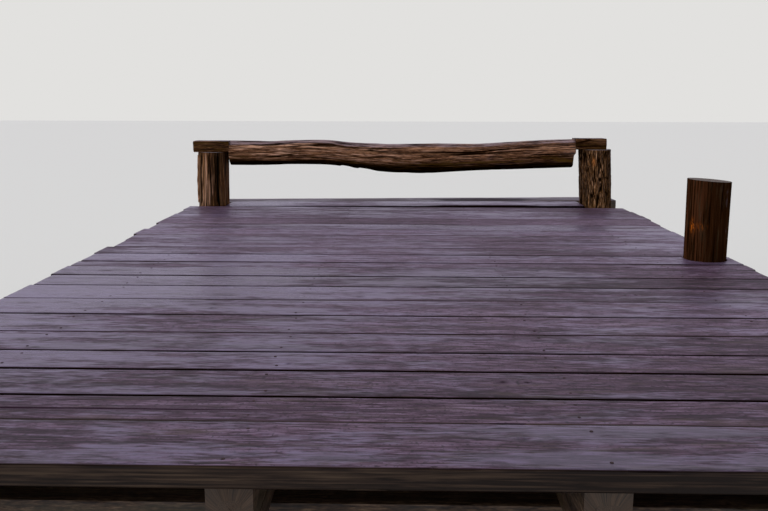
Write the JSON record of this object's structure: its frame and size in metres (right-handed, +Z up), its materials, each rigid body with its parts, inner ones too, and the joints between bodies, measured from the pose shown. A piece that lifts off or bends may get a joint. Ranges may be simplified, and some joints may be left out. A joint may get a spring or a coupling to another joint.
{
  "type": "wooden jetty",
  "caption": "Low plank jetty on round timber piles, with a natural log laid across two posts at its far end and a round bollard pile standing at its side.",
  "frame": {"origin": "middle of the footprint, at the level where the piles meet the ground", "axes": "+X along the boards to the right seen from the bank, +Y from the bank to the far end, +Z up"},
  "size_m": [3.0307, 4.449, 1.189],
  "materials": {
    "deck_board": "weathered, wet, dark purple-grey with a bluish sheen",
    "squared_timber": "weathered sawn timber, darkened by algae",
    "pile_wood": "wet, algae-stained round timber",
    "peeled_post": "peeled, fissured and streaked",
    "bark_post": "rough olive-brown bark",
    "dark_bollard": "smooth, very dark, wet top",
    "seat_log": "peeled log with pinkish bare patches and a dark underside",
    "iron_fixings": "rusted bolts, washers and nails"
  },
  "bodies": {
    "root": {"plank_01": "deck_board", "plank_02": "deck_board", "plank_03": "deck_board", "plank_04": "deck_board", "plank_05": "deck_board", "plank_06": "deck_board", "plank_07": "deck_board", "plank_08": "deck_board", "plank_09": "deck_board", "plank_10": "deck_board", "plank_11": "deck_board", "plank_12": "deck_board", "plank_13": "deck_board", "plank_14": "deck_board", "plank_15": "deck_board", "plank_16": "deck_board", "plank_17": "deck_board", "plank_18": "deck_board", "plank_19": "deck_board", "plank_20": "deck_board", "plank_21": "deck_board", "end_board": "deck_board", "end_beam": "squared_timber", "joist_1": "squared_timber", "joist_2": "squared_timber", "joist_3": "squared_timber", "joist_4": "squared_timber", "near_cap": "squared_timber", "mid_clamp_near": "squared_timber", "mid_clamp_far": "squared_timber", "far_clamp_near": "squared_timber", "far_clamp_far": "squared_timber", "near_left_pile": "pile_wood", "near_right_pile": "pile_wood", "mid_left_pile": "pile_wood", "left_post": "peeled_post", "right_post": "bark_post", "bollard_pile": "dark_bollard", "log_rail": "seat_log"}
  },
  "joints": []
}
